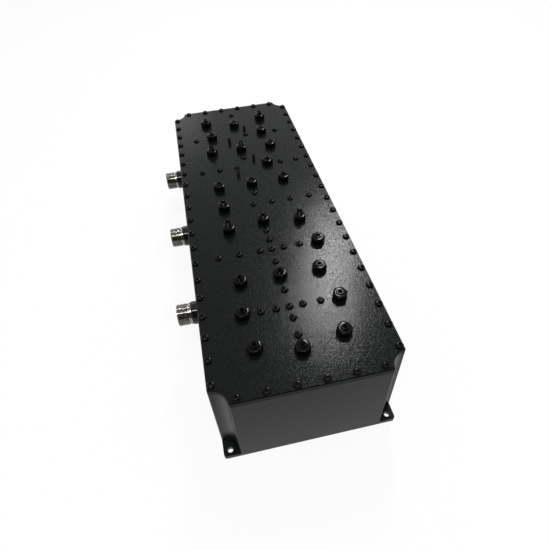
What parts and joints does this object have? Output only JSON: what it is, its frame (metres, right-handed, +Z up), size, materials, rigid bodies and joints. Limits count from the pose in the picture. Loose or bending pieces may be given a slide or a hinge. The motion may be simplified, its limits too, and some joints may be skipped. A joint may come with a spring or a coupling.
{
  "type": "cavity duplexer",
  "caption": "Black coaxial cavity duplexer: milled box with scalloped corners and feet, screwed tuning lid and threaded coaxial jacks on one long side.",
  "frame": {"origin": "centre of the mounting face", "axes": "+Z up from the mounting face, +Y along the body, ports on the -X side"},
  "size_m": [0.1361, 0.349, 0.0834],
  "materials": {
    "black_coat": "fine powder coat",
    "black_screw": "black oxide",
    "black_ring": "black anodised",
    "nickel_plate": "nickel plated",
    "silver_plate": "silver plated",
    "gold_plate": "gold plated",
    "white_bead": "smooth fluoropolymer"
  },
  "bodies": {
    "housing_body": {"housing": "black_coat", "lid": "black_coat", "lid_screws": "black_screw", "partition_screws": "black_screw", "lock_nuts": "black_screw", "resonator_bolts": "silver_plate", "resonator_1": "silver_plate", "resonator_2": "silver_plate", "resonator_3": "silver_plate", "resonator_4": "silver_plate", "resonator_5": "silver_plate", "resonator_6": "silver_plate", "resonator_7": "silver_plate", "resonator_8": "silver_plate", "resonator_9": "silver_plate", "resonator_10": "silver_plate", "resonator_11": "silver_plate", "resonator_12": "silver_plate", "junction_post": "silver_plate", "port_shell_1": "nickel_plate", "port_shell_2": "nickel_plate", "port_shell_3": "nickel_plate", "port_insulator_1": "white_bead", "port_insulator_2": "white_bead", "port_insulator_3": "white_bead", "port_contact_1": "gold_plate", "port_contact_2": "gold_plate", "port_contact_3": "gold_plate", "port_spacers": "black_ring", "tap_links": "gold_plate"},
    "tuning_screw_1_body": {"tuning_screw_1": "black_screw"},
    "tuning_screw_2_body": {"tuning_screw_2": "black_screw"},
    "tuning_screw_3_body": {"tuning_screw_3": "black_screw"},
    "tuning_screw_4_body": {"tuning_screw_4": "black_screw"},
    "tuning_screw_5_body": {"tuning_screw_5": "black_screw"},
    "tuning_screw_6_body": {"tuning_screw_6": "black_screw"},
    "tuning_screw_7_body": {"tuning_screw_7": "black_screw"},
    "tuning_screw_8_body": {"tuning_screw_8": "black_screw"},
    "tuning_screw_9_body": {"tuning_screw_9": "black_screw"},
    "tuning_screw_10_body": {"tuning_screw_10": "black_screw"},
    "tuning_screw_11_body": {"tuning_screw_11": "black_screw"},
    "tuning_screw_12_body": {"tuning_screw_12": "black_screw"},
    "coupling_screw_1_body": {"coupling_screw_1": "black_screw"},
    "coupling_screw_2_body": {"coupling_screw_2": "black_screw"},
    "coupling_screw_3_body": {"coupling_screw_3": "black_screw"},
    "coupling_screw_4_body": {"coupling_screw_4": "black_screw"},
    "coupling_screw_5_body": {"coupling_screw_5": "black_screw"},
    "coupling_screw_6_body": {"coupling_screw_6": "black_screw"},
    "coupling_screw_7_body": {"coupling_screw_7": "black_screw"},
    "coupling_screw_8_body": {"coupling_screw_8": "black_screw"},
    "coupling_screw_9_body": {"coupling_screw_9": "black_screw"},
    "coupling_screw_10_body": {"coupling_screw_10": "black_screw"},
    "coupling_screw_11_body": {"coupling_screw_11": "black_screw"},
    "coupling_screw_12_body": {"coupling_screw_12": "black_screw"},
    "coupling_screw_13_body": {"coupling_screw_13": "black_screw"},
    "trimmer_screw_1_body": {"trimmer_screw_1": "black_screw"},
    "trimmer_screw_2_body": {"trimmer_screw_2": "black_screw"},
    "trimmer_screw_3_body": {"trimmer_screw_3": "black_screw"},
    "trimmer_screw_4_body": {"trimmer_screw_4": "black_screw"}
  },
  "joints": [
    {"name": "tuning_screw_1_travel", "type": "slide", "parent": "housing_body", "child": "tuning_screw_1_body", "axis": [0, 0, 1], "range_m": [-0.004, 0.006]},
    {"name": "tuning_screw_2_travel", "type": "slide", "parent": "housing_body", "child": "tuning_screw_2_body", "axis": [0, 0, 1], "range_m": [-0.004, 0.006]},
    {"name": "tuning_screw_3_travel", "type": "slide", "parent": "housing_body", "child": "tuning_screw_3_body", "axis": [0, 0, 1], "range_m": [-0.004, 0.006]},
    {"name": "tuning_screw_4_travel", "type": "slide", "parent": "housing_body", "child": "tuning_screw_4_body", "axis": [0, 0, 1], "range_m": [-0.004, 0.006]},
    {"name": "tuning_screw_5_travel", "type": "slide", "parent": "housing_body", "child": "tuning_screw_5_body", "axis": [0, 0, 1], "range_m": [-0.004, 0.006]},
    {"name": "tuning_screw_6_travel", "type": "slide", "parent": "housing_body", "child": "tuning_screw_6_body", "axis": [0, 0, 1], "range_m": [-0.004, 0.006]},
    {"name": "tuning_screw_7_travel", "type": "slide", "parent": "housing_body", "child": "tuning_screw_7_body", "axis": [0, 0, 1], "range_m": [-0.004, 0.006]},
    {"name": "tuning_screw_8_travel", "type": "slide", "parent": "housing_body", "child": "tuning_screw_8_body", "axis": [0, 0, 1], "range_m": [-0.004, 0.006]},
    {"name": "tuning_screw_9_travel", "type": "slide", "parent": "housing_body", "child": "tuning_screw_9_body", "axis": [0, 0, 1], "range_m": [-0.004, 0.006]},
    {"name": "tuning_screw_10_travel", "type": "slide", "parent": "housing_body", "child": "tuning_screw_10_body", "axis": [0, 0, 1], "range_m": [-0.004, 0.006]},
    {"name": "tuning_screw_11_travel", "type": "slide", "parent": "housing_body", "child": "tuning_screw_11_body", "axis": [0, 0, 1], "range_m": [-0.004, 0.006]},
    {"name": "tuning_screw_12_travel", "type": "slide", "parent": "housing_body", "child": "tuning_screw_12_body", "axis": [0, 0, 1], "range_m": [-0.004, 0.006]},
    {"name": "coupling_screw_1_travel", "type": "slide", "parent": "housing_body", "child": "coupling_screw_1_body", "axis": [0, 0, 1], "range_m": [-0.004, 0.006]},
    {"name": "coupling_screw_2_travel", "type": "slide", "parent": "housing_body", "child": "coupling_screw_2_body", "axis": [0, 0, 1], "range_m": [-0.004, 0.006]},
    {"name": "coupling_screw_3_travel", "type": "slide", "parent": "housing_body", "child": "coupling_screw_3_body", "axis": [0, 0, 1], "range_m": [-0.004, 0.006]},
    {"name": "coupling_screw_4_travel", "type": "slide", "parent": "housing_body", "child": "coupling_screw_4_body", "axis": [0, 0, 1], "range_m": [-0.004, 0.006]},
    {"name": "coupling_screw_5_travel", "type": "slide", "parent": "housing_body", "child": "coupling_screw_5_body", "axis": [0, 0, 1], "range_m": [-0.004, 0.006]},
    {"name": "coupling_screw_6_travel", "type": "slide", "parent": "housing_body", "child": "coupling_screw_6_body", "axis": [0, 0, 1], "range_m": [-0.004, 0.006]},
    {"name": "coupling_screw_7_travel", "type": "slide", "parent": "housing_body", "child": "coupling_screw_7_body", "axis": [0, 0, 1], "range_m": [-0.004, 0.006]},
    {"name": "coupling_screw_8_travel", "type": "slide", "parent": "housing_body", "child": "coupling_screw_8_body", "axis": [0, 0, 1], "range_m": [-0.004, 0.006]},
    {"name": "coupling_screw_9_travel", "type": "slide", "parent": "housing_body", "child": "coupling_screw_9_body", "axis": [0, 0, 1], "range_m": [-0.004, 0.006]},
    {"name": "coupling_screw_10_travel", "type": "slide", "parent": "housing_body", "child": "coupling_screw_10_body", "axis": [0, 0, 1], "range_m": [-0.004, 0.006]},
    {"name": "coupling_screw_11_travel", "type": "slide", "parent": "housing_body", "child": "coupling_screw_11_body", "axis": [0, 0, 1], "range_m": [-0.004, 0.006]},
    {"name": "coupling_screw_12_travel", "type": "slide", "parent": "housing_body", "child": "coupling_screw_12_body", "axis": [0, 0, 1], "range_m": [-0.004, 0.006]},
    {"name": "coupling_screw_13_travel", "type": "slide", "parent": "housing_body", "child": "coupling_screw_13_body", "axis": [0, 0, 1], "range_m": [-0.004, 0.006]},
    {"name": "trimmer_screw_1_travel", "type": "slide", "parent": "housing_body", "child": "trimmer_screw_1_body", "axis": [0, 0, 1], "range_m": [-0.002, 0.002]},
    {"name": "trimmer_screw_2_travel", "type": "slide", "parent": "housing_body", "child": "trimmer_screw_2_body", "axis": [0, 0, 1], "range_m": [-0.002, 0.002]},
    {"name": "trimmer_screw_3_travel", "type": "slide", "parent": "housing_body", "child": "trimmer_screw_3_body", "axis": [0, 0, 1], "range_m": [-0.002, 0.002]},
    {"name": "trimmer_screw_4_travel", "type": "slide", "parent": "housing_body", "child": "trimmer_screw_4_body", "axis": [0, 0, 1], "range_m": [-0.002, 0.002]}
  ]
}
